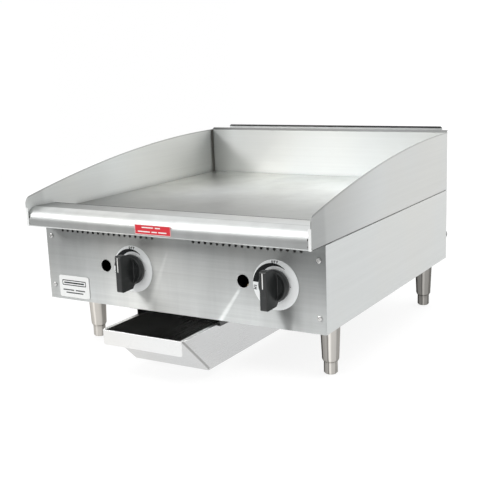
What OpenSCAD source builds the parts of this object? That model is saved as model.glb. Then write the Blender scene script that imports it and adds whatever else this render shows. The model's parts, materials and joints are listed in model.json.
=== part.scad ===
// Countertop gas griddle, 24 inch, two burners. Millimetres, Z up.
// The origin lies on the counter, under the middle of the whole object.
// Inside each module y is measured from the face of the control panel.

/* [Body] */
// Width over the side panels
body_w = 610; // [600:5:640]
// Depth from the control panel to the rear panel
body_d = 617; // [610:1:640]
// Height of the body's underside over the counter
base_z = 102; // [95:1:110]
// Height of the seam between the body and the splashes
seam_z = 255.4; // [250:0.1:260]
// Thickness of the body's sheet steel
sheet_t = 1.2; // [1:0.1:1.5]

/* [Cooking surface] */
// Height of the cooking surface
plate_z = 276.5; // [272:0.5:280]
// Thickness of the griddle plate
plate_t = 19.05; // [16:0.05:20]
// Distance of the plate's front edge behind the control panel
plate_y0 = 88; // [84:1:92]
// Distance of the rear splash behind the control panel
splash_y = 613; // [606:1:613]
// Height of the side splashes' rear corners
splash_top = 382.4; // [360:0.1:385]
// Radius of the side splashes' long top curve
splash_r = 2950; // [2500:50:4000]
// Thickness of the splash sheet
splash_t = 1.5; // [1.2:0.1:2]

/* [Bullnose] */
// How far the bullnose stands out from the control panel
nose_out = 50; // [40:1:60]
// Radius of the bullnose roll
nose_r = 25; // [20:1:26]
// Height of the landing shelf's front edge
nose_z = 291.8; // [288:0.1:295]
// Distance of the shelf's rear edge behind the control panel
shelf_y = 26; // [24:1:30]

/* [Flue] */
// Depth of the flue riser behind the body
flue_d = 43; // [35:1:50]
// Half of the riser's width
flue_x = 279; // [270:1:285]
// Height of the riser's top edge
flue_top = 391; // [388:1:400]

/* [Controls] */
// Height of the knobs' axes
dial_z = 179.6; // [170:0.1:190]
// Distance between the two knobs
dial_pitch = 303.9; // [290:0.1:310]
// Sideways place of the left knob
dial_x0 = -93.6; // [-100:0.1:-90]
// Diameter of the dial discs
dial_d = 89; // [80:1:90]
// Diameter of the knob's skirt
knob_d = 57; // [50:1:60]
// How far the knob's grip stands out
knob_h = 45; // [38:1:48]
// Lighting hole to the left of each knob
port_dx = 64.8; // [60:0.1:70]
// Diameter of the lighting holes
port_d = 24; // [20:1:28]

/* [Grease drawer] */
// How far the drawer stands out of the body
drawer_out = 108; // [100:1:120]
// Length of the drawer along its rim
drawer_l = 438; // [400:1:440]
// Half of the drawer's width over its walls
drawer_x = 81.5; // [78:0.5:82]
// Height of the drawer's rim
drawer_z1 = 93.5; // [92:0.1:93.6]
// Height of the drawer's underside
drawer_z0 = 14; // [12:1:30]
// Horizontal run of the sloped front wall
drawer_run = 84; // [60:1:90]

/* [Legs] */
// Sideways place of the legs
leg_x = 267; // [262:1:268]
// Distance of the front legs behind the control panel
leg_y0 = 92; // [80:1:110]
// Distance of the rear legs behind the control panel
leg_y1 = 576; // [560:1:580]
// Height of the visible foot
foot_h = 24; // [20:1:30]

/* [Hidden] */
$fn = 64;
half_w = body_w / 2;
front_y = drawer_out - (drawer_out + body_d + flue_d) / 2;
seam = 1;
body_top = seam_z - seam / 2;
flange_w = 20;
lift = 0.1;
fit = 0.05;
gap = 0.3;

dial_x = [dial_x0, dial_x0 + dial_pitch];
port_x = [for (x = dial_x) x - port_dx];
leg_y = [leg_y0, leg_y1];

// Vent holes under the bullnose
vent_n = 18;
vent_pitch = 12.7;
vent_r = 2.8;
vent_z = 241.5;
vent_x0 = [-262, 44.4];

// Pan head screws
screw_r = 2;
screw_l = 8;
screw_head_r = 4.5;
screw_head_h = 2.4;
screw_x = half_w - 12.4;
screw_z = [130.4, 229];
screw_reach = 10;

// Gas train
manifold_y = 22;
manifold_z = dial_z - 32;
manifold_r = 10.65;
manifold_wall = 2.8;
manifold_x = 262;
inlet_x = 282;
inlet_r = 13.335;
inlet_wall = 2.9;
inlet_out = 38;
thread_r = 12.7;
thread_l = 20;
elbow_r = 17;
valve_r = 13;
valve_y0 = 9;
valve_y1 = 37;
valve_neck_r = 8;
stem_r = 4;
stem_out = 26;
hood_end = 60;
hood_r = 7.3;
stem_hole_r = 6;
pipe_hole_r = 15;

// Burners
burner_r = 16;
burner_wall = 1.2;
burner_gap = 106;
burner_y0 = 115;
burner_y1 = 500;
bell_r = 22;
bell_y = 58.3;
pilot_z = 165;
pilot_r = 3.175;
pilot_y = 112;
pilot_bend = 8;

// Inside of the body
wall_x = 250;
shield_y = 92;
rail_top = 250;
rail_w = 30;
rail_y = [104, 575];
rail_bolt_x = 200;
bolt_r = 5;
bolt_head = 6.4;
plate_bottom = plate_z - plate_t;
bracket_y = [128, 470];
bracket_z = dial_z - 6;
liner_z = base_z + 5;
window_x = 245;
window_z = [178, 222];

// Grease path
trough_z = 238;
chute_half = 20;
chute_y = 57;
chute_z = 97;

// Drawer rails
lip_x = 87.5;
lip_t = 1.5;
rail_x = 91.5;
rail_t = 1.5;
rail_in = 83;
rail_shelf_z = drawer_z1 - lip_t - gap;
rail_end = 563;
rail_screw_x = 102;
rail_screw_y = [40, 290, 540];

// Legs and feet
leg_top_r = 18.5;
leg_bottom_r = 15.5;
foot_r = 12.5;
foot_stud_r = 8;
foot_stud_l = 42;
stud_r = 4.9;
stud_l = 16;
nut_af = 17;
leg_plate_t = 3;

// Flue riser
riser_t = 1.5;
riser_z = 170;
riser_screw_z = [190, 245];
riser_screw_x = flue_x - 12;

// ---- helpers ----

// Moves a module's own y from the control panel's face to the object's frame
module from_front() {
    translate([0, front_y, 0]) children();
}

// Right-hand piece for side 1, its mirror image for side -1
module on_side(side) {
    if (side < 0) mirror([1, 0, 0]) children();
    else children();
}

// Block between two corners
module box(lo, hi) {
    translate(lo) cube(hi - lo);
}

module rod_x(r, x0, x1, y, z) {
    translate([x0, y, z]) rotate([0, 90, 0]) cylinder(r = r, h = x1 - x0);
}

module rod_y(r, y0, y1, x, z) {
    translate([x, y0, z]) rotate([-90, 0, 0]) cylinder(r = r, h = y1 - y0);
}

module rod_z(r, z0, z1, x, y) {
    translate([x, y, z0]) cylinder(r = r, h = z1 - z0);
}

// Turned piece along y: its outline is [radius, y]
module turned_y(x, z) {
    translate([x, 0, z]) rotate([-90, 0, 0]) rotate_extrude() children();
}

// Outline in [y, z] drawn out from x0 to x1
module along_x(x0, x1) {
    translate([x0, 0, 0]) rotate([90, 0, 90]) linear_extrude(x1 - x0) children();
}

// Outline in [x, z] drawn out from y0 to y1
module along_y(y0, y1) {
    translate([0, y1, 0]) rotate([90, 0, 0]) linear_extrude(y1 - y0) children();
}

// Local x right, y up and z out of the control panel, with the knob's axis as z
module on_dial(i) {
    from_front() translate([dial_x[i], 0, dial_z]) rotate([90, 0, 0]) children();
}

module hex_z(af, z0, z1, x, y) {
    translate([x, y, z0]) cylinder(r = af / sqrt(3), h = z1 - z0, $fn = 6);
}

module rounded_rect(w, h, r) {
    square([w - 2 * r, h], center = true);
    square([w, h - 2 * r], center = true);
    for (sx = [-1, 1], sy = [-1, 1])
        translate([sx * (w / 2 - r), sy * (h / 2 - r)]) circle(r = r, $fn = 32);
}

function arc(c, r, a0, a1, n) =
    [for (i = [0 : n]) c + r * [cos(a0 + (a1 - a0) * i / n), sin(a0 + (a1 - a0) * i / n)]];

// ---- body shell ----

module side_panel(side) {
    z0 = base_z + sheet_t + lift;
    inner = half_w - sheet_t;
    flange_x = inner - flange_w;
    bottom_y0 = 20;
    top_y0 = 95;
    long_y1 = 600;
    front_z1 = trough_z - 1;
    color("silver") on_side(side) from_front() difference() {
        union() {
            box([inner, sheet_t, base_z], [half_w, body_d, body_top]);
            box([flange_x, sheet_t, z0], [inner, 2 * sheet_t, front_z1]);
            box([flange_x, body_d - 2 * sheet_t, z0], [inner, body_d - sheet_t, body_top]);
            box([flange_x, bottom_y0, z0], [inner, long_y1, z0 + sheet_t]);
            box([flange_x, top_y0, body_top - sheet_t], [inner, long_y1, body_top]);
        }
        for (z = screw_z, y = [0, body_d - screw_reach])
            rod_y(screw_r, y, y + screw_reach, screw_x, z);
        if (side > 0) rod_y(pipe_hole_r, body_d - screw_reach, body_d, inlet_x, manifold_z);
    }
}

module control_panel() {
    half_flange = 275;
    top_y1 = 22;
    bottom_y1 = 14;
    bottom_z = base_z + sheet_t + lift;
    color("silver") from_front() difference() {
        union() {
            box([-half_w, 0, base_z], [half_w, sheet_t, body_top]);
            box([-half_flange, sheet_t, body_top - sheet_t], [half_flange, top_y1, body_top]);
            box([-half_flange, sheet_t, bottom_z], [half_flange, bottom_y1, bottom_z + sheet_t]);
        }
        for (x0 = vent_x0, i = [0 : vent_n - 1])
            rod_y(vent_r, -1, 2, x0 + i * vent_pitch, vent_z);
        for (x = dial_x) rod_y(stem_hole_r, -1, 2, x, dial_z);
        for (x = port_x) rod_y(port_d / 2, -1, 2, x, dial_z);
        for (sx = [-1, 1], z = screw_z) rod_y(screw_r, -1, 2, sx * screw_x, z);
    }
}

module rear_panel() {
    half = half_w - sheet_t - lift;
    y0 = body_d - sheet_t;
    color("silver") from_front() difference() {
        box([-half, y0, base_z + sheet_t + lift], [half, body_d, body_top]);
        box([-window_x, y0 - 1, window_z[0]], [window_x, body_d + 1, window_z[1]]);
        rod_y(pipe_hole_r, y0 - 1, body_d + 1, inlet_x, manifold_z);
        for (sx = [-1, 1], z = screw_z) rod_y(screw_r, y0 - 1, body_d + 1, sx * screw_x, z);
        for (sx = [-1, 1], z = riser_screw_z)
            rod_y(screw_r, y0 - 1, body_d + 1, sx * riser_screw_x, z);
    }
}

module base_pan() {
    half = half_w - sheet_t - lift;
    z1 = base_z + sheet_t;
    slot = [70, 14];
    slot_x = 180;
    slot_y0 = 170;
    slot_pitch = 45;
    color("silver") from_front() difference() {
        box([-half, sheet_t + lift, base_z], [half, body_d - sheet_t - lift, z1]);
        chute_block(chute_half + 1.5, base_z - 1, z1 + 1);
        for (sx = [-1, 1], y = leg_y) rod_z(stud_r + 0.3, base_z - 1, z1 + 1, sx * leg_x, y);
        for (sx = [-1, 1], y = rail_screw_y) rod_z(screw_r, base_z - 1, z1 + 1, sx * rail_screw_x, y);
        for (sx = [-1, 1], i = [0 : 7])
            translate([sx * slot_x, slot_y0 + i * slot_pitch, base_z])
                cube([slot[0], slot[1], 4 * sheet_t], center = true);
    }
}

// ---- splashes, shelf and plate ----

module bullnose() {
    t = splash_t;
    z0 = seam_z + lift;
    bend = 3;
    end_y = 20;
    drop_z = 276;
    shelf_z = 290;
    roll = [nose_r - nose_out, nose_z - nose_r];
    lower = [bend - nose_out, z0 + bend];
    outer = concat(
        [[end_y, z0]], arc(lower, bend, 270, 180, 4), arc(roll, nose_r, 180, 90, 24),
        [[shelf_y, shelf_z], [shelf_y, drop_z]]);
    inner = concat(
        [[shelf_y - t, drop_z], [shelf_y - t, shelf_z - t]], arc(roll, nose_r - t, 90, 180, 24),
        arc(lower, bend - t, 180, 270, 4), [[end_y, z0 + t]]);
    color("gainsboro") from_front()
        along_x(-half_w + t + lift, half_w - t - lift) polygon(concat(outer, inner));
}

module side_splash(side) {
    z0 = seam_z + seam / 2;
    flat_y = 600;
    top_n = 28;
    lower_r = 8;
    upper_r = 15;
    corner_y = upper_r - nose_out;
    slope = asin((flat_y - corner_y) / splash_r);
    start_y = corner_y - upper_r * sin(slope);
    corner_z = splash_z(corner_y, flat_y) - upper_r / cos(slope);
    outline = concat(
        [[body_d, z0]], arc([lower_r - nose_out, z0 + lower_r], lower_r, 270, 180, 10),
        arc([corner_y, corner_z], upper_r, 180, 90 + slope, 8),
        [for (i = [1 : top_n]) let (y = start_y + (body_d - start_y) * i / top_n)
            [y, splash_z(y, flat_y)]]);
    color("gainsboro") on_side(side) from_front()
        along_x(half_w - splash_t, half_w) polygon(outline);
}

function splash_z(y, flat_y) = splash_top - pow(flat_y - y, 2) / (2 * splash_r);

module rear_splash() {
    t = splash_t;
    fold_z = 381.5;
    outline = [
        [splash_y, seam_z + seam / 2], [splash_y + t, seam_z + seam / 2],
        [splash_y + t, fold_z - 0.6], [splash_y + 9.4, fold_z + 3.4],
        [splash_y + 9, fold_z + 5], [splash_y, fold_z]];
    color("gainsboro") from_front()
        along_x(-half_w + t + lift, half_w - t - lift) polygon(outline);
}

module griddle_plate() {
    bevel = 2;
    half = half_w - splash_t;
    outline = [
        [plate_y0, plate_bottom], [splash_y, plate_bottom], [splash_y, plate_z],
        [plate_y0 + bevel, plate_z], [plate_y0, plate_z - bevel]];
    color("dimgray") from_front() along_x(-half, half) polygon(outline);
}

module grease_trough() {
    t = splash_t;
    end_x = half_w - sheet_t - 0.5;
    front_z = 287;
    rear_z = plate_z - 4;
    y1 = plate_y0;
    outline = [
        [shelf_y, front_z], [shelf_y, trough_z], [y1, trough_z], [y1, rear_z], [y1 - t, rear_z],
        [y1 - t, trough_z + t], [shelf_y + t, trough_z + t], [shelf_y + t, front_z]];
    color("silver") from_front() difference() {
        union() {
            along_x(-end_x, end_x) polygon(outline);
            for (x = [-end_x, end_x - t])
                box([x, shelf_y, trough_z], [x + t, y1, seam_z]);
        }
        chute_block(chute_half - t, trough_z - 1, trough_z + t + 1);
    }
}

// Square block about the chute's axis
module chute_block(half, z0, z1) {
    box([-half, chute_y - half, z0], [half, chute_y + half, z1]);
}

module grease_chute() {
    flange_half = 28;
    color("silver") from_front() difference() {
        union() {
            chute_block(chute_half, chute_z, trough_z);
            chute_block(flange_half, trough_z - splash_t, trough_z);
        }
        chute_block(chute_half - splash_t, chute_z - 1, trough_z + 1);
    }
}

// ---- inside of the body ----

module front_heat_shield() {
    z0 = base_z + sheet_t + lift;
    half = wall_x + sheet_t;
    foot_x = 30;
    foot_w = 14;
    color("lightsteelblue") from_front() difference() {
        union() {
            box([-half, shield_y, z0], [half, shield_y + sheet_t, rail_top]);
            for (sx = [-1, 1]) on_side(sx)
                box([foot_x, shield_y - foot_w, z0], [half - foot_x, shield_y, z0 + sheet_t]);
        }
        for (x = dial_x) rod_y(burner_r + 1, shield_y - 1, shield_y + 3, x, dial_z);
        for (x = port_x) rod_y(port_d / 2, shield_y - 1, shield_y + 3, x, dial_z + 10);
        for (x = port_x) rod_y(pilot_r + 1.5, shield_y - 1, shield_y + 3, x, pilot_z);
    }
}

module liner(side) {
    z0 = liner_z;
    y0 = shield_y + sheet_t + lift;
    y1 = body_d - sheet_t - lift;
    x1 = wall_x + sheet_t;
    outer_w = 12;
    color("lightsteelblue") on_side(side) from_front() {
        box([wall_x, y0, z0], [x1, y1, rail_top]);
        box([wall_x - flange_w, y0, z0], [wall_x, y0 + sheet_t, rail_top]);
        box([x1, y1 - sheet_t, z0], [x1 + outer_w, y1, rail_top]);
    }
}

module plate_rail(y0) {
    web_z = 222;
    t = 1.5;
    half = wall_x - lift;
    color("slategray") from_front() difference() {
        union() {
            box([-half, y0, rail_top - t], [half, y0 + rail_w, rail_top]);
            for (y = [y0, y0 + rail_w - t]) box([-half, y, web_z], [half, y + t, rail_top]);
        }
        for (sx = [-1, 1])
            rod_z(bolt_r + 0.2, rail_top - 3, rail_top + 1, sx * rail_bolt_x, y0 + rail_w / 2);
    }
}

module levelling_bolts() {
    bolt_l = 24;
    nut_z = [rail_top - 9.5, rail_top - 1.5];
    color("gray") from_front() for (sx = [-1, 1], y0 = rail_y) {
        x = sx * rail_bolt_x;
        y = y0 + rail_w / 2;
        rod_z(bolt_r, plate_bottom - bolt_l, plate_bottom - bolt_head, x, y);
        hex_z(nut_af, plate_bottom - bolt_head, plate_bottom, x, y);
        difference() {
            hex_z(nut_af, nut_z[0], nut_z[1], x, y);
            rod_z(bolt_r + fit, nut_z[0] - 1, nut_z[1] + 1, x, y);
        }
    }
}

module zone_baffle() {
    half_t = sheet_t / 2;
    z1 = 221;
    color("lightsteelblue") from_front() difference() {
        box([-half_t, shield_y + 4, liner_z], [half_t, body_d - 5, z1]);
        for (y = bracket_y)
            box([-half_t - 1, y - 1, liner_z - 1], [half_t + 1, y + sheet_t + 1, bracket_z + 1]);
    }
}

module burner_bracket(y) {
    z0 = base_z + sheet_t + lift;
    half = wall_x - lift;
    foot_w = 16;
    color("slategray") from_front() difference() {
        union() {
            box([-half, y, z0], [half, y + sheet_t, bracket_z]);
            box([-half, y, z0], [half, y + foot_w, z0 + sheet_t]);
        }
        for (x = dial_x, dx = [0, -burner_gap])
            rod_y(burner_r + fit, y - 1, y + 3, x + dx, dial_z);
    }
}

// ---- burners ----

module burner(i) {
    xa = dial_x[i];
    xb = xa - burner_gap;
    bore = burner_r - burner_wall;
    neck = 11;
    shell = [
        [bell_r, bell_y], [bell_r, bell_y + 13], [neck + burner_wall, bell_y + 24],
        [burner_r, burner_y0], [bore, burner_y0], [neck, bell_y + 24],
        [bell_r - burner_wall, bell_y + 13], [bell_r - burner_wall, bell_y]];
    color("darkgray") from_front() {
        turned_y(xa, dial_z) polygon(shell);
        difference() {
            union() {
                burner_tube(xa, burner_r, burner_y0, burner_y1);
                burner_tube(xb, burner_r, burner_y0, burner_y1);
                burner_bend(xa, burner_r);
            }
            burner_tube(xa, bore, burner_y0 - 1, burner_y1);
            burner_tube(xb, bore, burner_y0 + 2, burner_y1);
            burner_bend(xa, bore);
            for (x = [xa, xb], a = [-50, 50], k = [0 : 7])
                translate([x, burner_y0 + 40 + 44 * k, dial_z]) rotate([0, a, 0])
                    box([-0.8, -16, bore - 2], [0.8, 16, burner_r + 2]);
        }
    }
}

module burner_tube(x, r, y0, y1) {
    rod_y(r, y0, y1, x, dial_z);
}

module burner_bend(xa, r) {
    translate([xa - burner_gap / 2, burner_y1, dial_z])
        rotate_extrude(angle = 180) translate([burner_gap / 2, 0]) circle(r = r);
}

module orifice_hoods() {
    tip = 3;
    color("goldenrod") from_front() for (x = dial_x) difference() {
        union() {
            translate([x, valve_y1, dial_z]) rotate([-90, 0, 0])
                cylinder(r = hood_r, h = hood_end - tip - valve_y1, $fn = 6);
            turned_y(x, dial_z) polygon([
                [0, hood_end - tip], [hood_r * 0.8, hood_end - tip], [2.5, hood_end], [0, hood_end]]);
        }
        rod_y(0.9, hood_end - tip - 2, hood_end + 1, x, dial_z);
        rod_y(3.2, valve_y1 - 1, hood_end - tip - 2, x, dial_z);
    }
}

module air_shutter(i) {
    y0 = bell_y - gap - sheet_t;
    x = dial_x[i];
    window_at = 14.6;
    color("darkgray") from_front() difference() {
        rod_y(bell_r + fit + sheet_t, y0, bell_y + 11, x, dial_z);
        rod_y(bell_r + fit, y0 + sheet_t, bell_y + 12, x, dial_z);
        rod_y(hood_r + 1.2, y0 - 1, y0 + 3, x, dial_z);
        for (a = [45 : 90 : 315])
            rod_y(4.4, y0 - 1, y0 + 3, x + window_at * cos(a), dial_z + window_at * sin(a));
    }
}

// ---- gas train ----

module gas_manifold() {
    bore = manifold_r - manifold_wall;
    color("gray") from_front() difference() {
        union() {
            rod_x(manifold_r, -manifold_x, manifold_x, manifold_y, manifold_z);
            rod_x(manifold_r + 3, -manifold_x - 4, -manifold_x + 14, manifold_y, manifold_z);
        }
        rod_x(bore, -manifold_x + 4, manifold_x + 1, manifold_y, manifold_z);
        for (x = dial_x) rod_z(valve_neck_r, manifold_z, dial_z, x, manifold_y);
        for (x = port_x) rod_z(5, manifold_z, dial_z, x, manifold_y);
    }
}

module inlet_elbow() {
    color("gray") from_front() difference() {
        union() {
            rod_x(elbow_r, manifold_x - 12, inlet_x, manifold_y, manifold_z);
            translate([inlet_x, manifold_y, manifold_z]) sphere(r = elbow_r);
            rod_y(elbow_r, manifold_y, manifold_y + 26, inlet_x, manifold_z);
        }
        rod_x(manifold_r, manifold_x - 13, manifold_x, manifold_y, manifold_z);
        rod_x(manifold_r - manifold_wall, manifold_x - 1, inlet_x, manifold_y, manifold_z);
        rod_y(inlet_r, manifold_y + 14, manifold_y + 27, inlet_x, manifold_z);
        rod_y(inlet_r - inlet_wall, manifold_y, manifold_y + 15, inlet_x, manifold_z);
    }
}

module inlet_pipe() {
    color("gray") from_front() difference() {
        union() {
            rod_y(inlet_r, manifold_y + 14, body_d + inlet_out - thread_l, inlet_x, manifold_z);
            rod_y(thread_r, body_d, body_d + inlet_out, inlet_x, manifold_z);
        }
        rod_y(inlet_r - inlet_wall, manifold_y + 13, body_d + inlet_out + 1, inlet_x, manifold_z);
    }
}

module valve_body(i) {
    x = dial_x[i];
    neck_z = manifold_z + 5;
    color("goldenrod") from_front() difference() {
        union() {
            rod_y(valve_r, valve_y0, valve_y1, x, dial_z);
            rod_y(stem_r + 3.5, valve_y0 - 4, valve_y0, x, dial_z);
            rod_z(valve_neck_r, neck_z, dial_z, x, manifold_y);
        }
        rod_y(stem_r + fit, valve_y0 - 5, valve_y1 - 5, x, dial_z);
        rod_y(3, valve_y1 - 6, valve_y1 + 1, x, dial_z);
        rod_z(4, neck_z - 1, dial_z, x, manifold_y);
    }
}

module valve_stem(i) {
    tip = 4;
    color("silver") on_dial(i) difference() {
        translate([0, 0, tip - valve_y1 + 1.5]) cylinder(r = stem_r, h = valve_y1 - tip - 1.5 + stem_out);
        box([-stem_r, stem_r - 1.4, 6], [stem_r, stem_r + 1, stem_out + 1]);
    }
}

module pilot_valves() {
    color("goldenrod") from_front() for (x = port_x) {
        rod_z(5, manifold_z + 5, pilot_z, x, manifold_y);
        rod_z(7, manifold_z + manifold_r, manifold_z + manifold_r + 12, x, manifold_y);
        rod_y(5, manifold_y, manifold_y + 13, x, pilot_z);
    }
}

module pilot(i) {
    x = port_x[i];
    y0 = manifold_y + 13;
    bore = pilot_r - 0.8;
    color("silver") from_front() {
        difference() {
            union() {
                rod_y(pilot_r, y0, pilot_y, x, pilot_z);
                translate([x, pilot_y, pilot_z + pilot_bend]) rotate([90, 0, 90])
                    rotate_extrude(angle = -90) translate([pilot_bend, 0]) circle(r = pilot_r, $fn = 32);
                rod_z(pilot_r, pilot_z + pilot_bend, pilot_z + 14, x, pilot_y + pilot_bend);
            }
            rod_y(bore, y0 - 1, pilot_y - 1, x, pilot_z);
        }
        difference() {
            rod_z(6, pilot_z + 14, pilot_z + 30, x, pilot_y + pilot_bend);
            rod_z(4.8, pilot_z + 16, pilot_z + 31, x, pilot_y + pilot_bend);
            rod_y(2.5, pilot_y, pilot_y + 20, x, pilot_z + 24);
        }
    }
}

module manifold_brackets() {
    z0 = base_z + 2 * sheet_t + 2 * lift;
    bracket_x = 45;
    color("slategray") from_front() for (sx = [-1, 1]) on_side(sx) difference() {
        union() {
            box([bracket_x, 8, z0], [bracket_x + 2, 34, manifold_z + 2]);
            box([bracket_x, 8, z0], [bracket_x + 18, 34, z0 + 2]);
        }
        rod_x(manifold_r, bracket_x - 1, bracket_x + 3, manifold_y, manifold_z);
        box([bracket_x - 1, manifold_y - manifold_r, manifold_z],
            [bracket_x + 3, manifold_y + manifold_r, manifold_z + 3]);
    }
}

// ---- knobs and dials ----

module knob(i) {
    skirt_r = knob_d / 2;
    back = 3;
    color("black") on_dial(i) difference() {
        union() {
            rotate_extrude() polygon([
                [0, back], [skirt_r - 0.8, back], [skirt_r, back + 0.8], [skirt_r, back + 7],
                [skirt_r - 2.5, back + 11], [skirt_r - 5, back + 11], [skirt_r - 9, back + 8],
                [0, back + 8]]);
            intersection() {
                grip_width();
                grip_side();
            }
        }
        difference() {
            translate([0, 0, back - 1]) cylinder(r = skirt_r - 2, h = 5);
            translate([0, 0, back - 2]) cylinder(r = 8, h = 7);
        }
        difference() {
            translate([0, 0, back - 1]) cylinder(r = stem_r, h = stem_out - back + 1);
            box([-stem_r, stem_r - 1.4, 6], [stem_r, stem_r + 1, stem_out + 1]);
        }
    }
}

// Grip seen along its length: wide at the skirt, narrow at the front
module grip_width() {
    top = 50;
    w0 = 9;
    w1 = 6.7;
    outline = [
        [-w0, 9], [w0, 9], [w1, knob_h - 1.5], [w1 - 1.5, knob_h], [1.5 - w1, knob_h],
        [-w1, knob_h - 1.5]];
    translate([0, top, 0]) rotate([90, 0, 0]) linear_extrude(2 * top) polygon(outline);
}

// Grip seen from the side: the lower end reaches past the skirt
module grip_side() {
    lower = 36;
    upper = 33;
    r = 5;
    outline = concat(
        [[upper - 9, 9], [upper - 1, 26]], arc([upper - r, knob_h - r], r, 0, 90, 6),
        arc([r - lower, knob_h - r], r, 90, 180, 6), [[2 - lower, 14], [8 - lower, 9]]);
    side = 20;
    translate([-side, 0, 0]) rotate([90, 0, 90]) linear_extrude(2 * side) polygon(outline);
}

module pointer(i) {
    color("white") on_dial(i) box([-0.9, 3, knob_h], [0.9, 30, knob_h + 0.4]);
}

module dial(i) {
    color("whitesmoke") on_dial(i) difference() {
        cylinder(r = dial_d / 2, h = 1);
        translate([0, 0, -1]) cylinder(r = 7, h = 3);
    }
}

module badge() {
    t = 1.2;
    color("white") from_front() translate([-242.5, 0, 129]) rotate([90, 0, 0])
        linear_extrude(t) rounded_rect(76, 44, 5);
}

module front_label() {
    t = 0.3;
    color("crimson") from_front() translate([-5.5, -nose_out, 268.5]) rotate([90, 0, 0])
        linear_extrude(t) rounded_rect(78, 18, 1.5);
}

// ---- grease drawer ----

// Side view of the drawer, t inside its outer faces and open at the top for t > 0
module drawer_outline(t) {
    rise = drawer_z1 - drawer_z0;
    slope_t = t / sin(atan(rise / drawer_run));
    y1 = drawer_l - drawer_out - t;
    top = t > 0 ? drawer_z1 + 1 : drawer_z1;
    function front(z) = -drawer_out + (drawer_z1 - z) * drawer_run / rise + slope_t;
    polygon([[front(top), top], [front(drawer_z0 + t), drawer_z0 + t], [y1, drawer_z0 + t], [y1, top]]);
}

module grease_drawer() {
    t = 1.2;
    y0 = -drawer_out;
    y1 = drawer_l - drawer_out;
    lip_y = 5;
    flange_h = 27.5;
    flange_x = 85;
    corner_r = 4;
    color("whitesmoke") from_front() difference() {
        union() {
            along_x(-drawer_x, drawer_x) drawer_outline(0);
            for (sx = [-1, 1]) on_side(sx)
                box([drawer_x - t, y0 + lip_y, drawer_z1 - lip_t], [lip_x, y1, drawer_z1]);
            along_y(y0, y0 + lip_t) translate([0, drawer_z1 - flange_h]) {
                translate([-flange_x, corner_r]) square([2 * flange_x, flange_h - corner_r]);
                translate([corner_r - flange_x, 0]) square([2 * (flange_x - corner_r), 2 * corner_r]);
                for (sx = [-1, 1]) translate([sx * (flange_x - corner_r), corner_r]) circle(r = corner_r);
            }
        }
        along_x(-drawer_x + t, drawer_x - t) drawer_outline(t);
    }
}

module drawer_rail(side) {
    t = rail_t;
    z1 = base_z;
    outline = [
        [rail_in, rail_shelf_z], [rail_in, rail_shelf_z - t], [rail_x + t, rail_shelf_z - t],
        [rail_x + t, z1 - t], [rail_x + flange_w, z1 - t], [rail_x + flange_w, z1], [rail_x, z1],
        [rail_x, rail_shelf_z]];
    color("dimgray") on_side(side) from_front() difference() {
        union() {
            along_y(3, rail_end) polygon(outline);
            box([rail_in, rail_end - t, rail_shelf_z], [rail_x, rail_end, z1 - 2]);
        }
        for (y = rail_screw_y) rod_z(screw_r, z1 - 3, z1 + 1, rail_screw_x, y);
    }
}

// ---- legs ----

module leg(side, y) {
    chamfer = [1.8, 4];
    color("silver") from_front() translate([side * leg_x, y, 0]) difference() {
        union() {
            rotate_extrude() polygon([
                [0, foot_h], [leg_bottom_r - chamfer[0], foot_h], [leg_bottom_r, foot_h + chamfer[1]],
                [leg_top_r, base_z - 4],
                [leg_top_r + 0.5, base_z - 3], [leg_top_r + 0.5, base_z], [0, base_z]]);
            rod_z(stud_r, base_z - 1, base_z + stud_l, 0, 0);
        }
        rod_z(foot_stud_r + fit, foot_h - 1, foot_h + foot_stud_l + 2, 0, 0);
    }
}

module foot(side, y) {
    bevel = 2.5;
    top = foot_h - gap;
    color("darkgray") from_front() translate([side * leg_x, y, 0]) {
        rotate_extrude() polygon([
            [0, 0], [foot_r - bevel, 0], [foot_r, bevel], [foot_r, top - 1], [foot_r - 1, top], [0, top]]);
        rod_z(foot_stud_r, top, foot_h + foot_stud_l, 0, 0);
    }
}

module leg_plates() {
    z0 = base_z + sheet_t;
    size = [31, 60];
    color("slategray") from_front() for (sx = [-1, 1], y = leg_y) difference() {
        translate([sx * (leg_x + 0.5), y, z0 + leg_plate_t / 2])
            cube([size[0], size[1], leg_plate_t], center = true);
        rod_z(stud_r + 0.3, z0 - 1, z0 + leg_plate_t + 1, sx * leg_x, y);
    }
}

module leg_nuts() {
    z0 = base_z + sheet_t + leg_plate_t;
    nut_h = 8;
    color("gray") from_front() for (sx = [-1, 1], y = leg_y) difference() {
        hex_z(nut_af, z0, z0 + nut_h, sx * leg_x, y);
        rod_z(stud_r, z0 - 1, z0 + nut_h + 1, sx * leg_x, y);
    }
}

// ---- flue riser and screws ----

module flue_riser() {
    t = riser_t;
    trim = 4;
    y1 = body_d + flue_d;
    z1 = flue_top;
    hem = 12;
    wall = [
        [-flue_x, riser_z], [flue_x, riser_z], [flue_x, z1 - trim], [flue_x - trim, z1],
        [trim - flue_x, z1], [-flue_x, z1 - trim]];
    color("silver") from_front() difference() {
        union() {
            along_y(y1 - t, y1) polygon(wall);
            box([trim - flue_x, y1 - 2 * t, z1 - hem], [flue_x - trim, y1 - t, z1]);
            box([-flue_x, body_d, riser_z], [flue_x, y1 - t, riser_z + t]);
            for (sx = [-1, 1]) on_side(sx) {
                box([flue_x - t, body_d, riser_z], [flue_x, y1 - t, z1 - hem]);
                box([flue_x - flange_w, body_d, riser_z], [flue_x, body_d + t, seam_z]);
            }
        }
        for (sx = [-1, 1], z = riser_screw_z) rod_y(screw_r, body_d - 1, body_d + 3, sx * riser_screw_x, z);
    }
}

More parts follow.
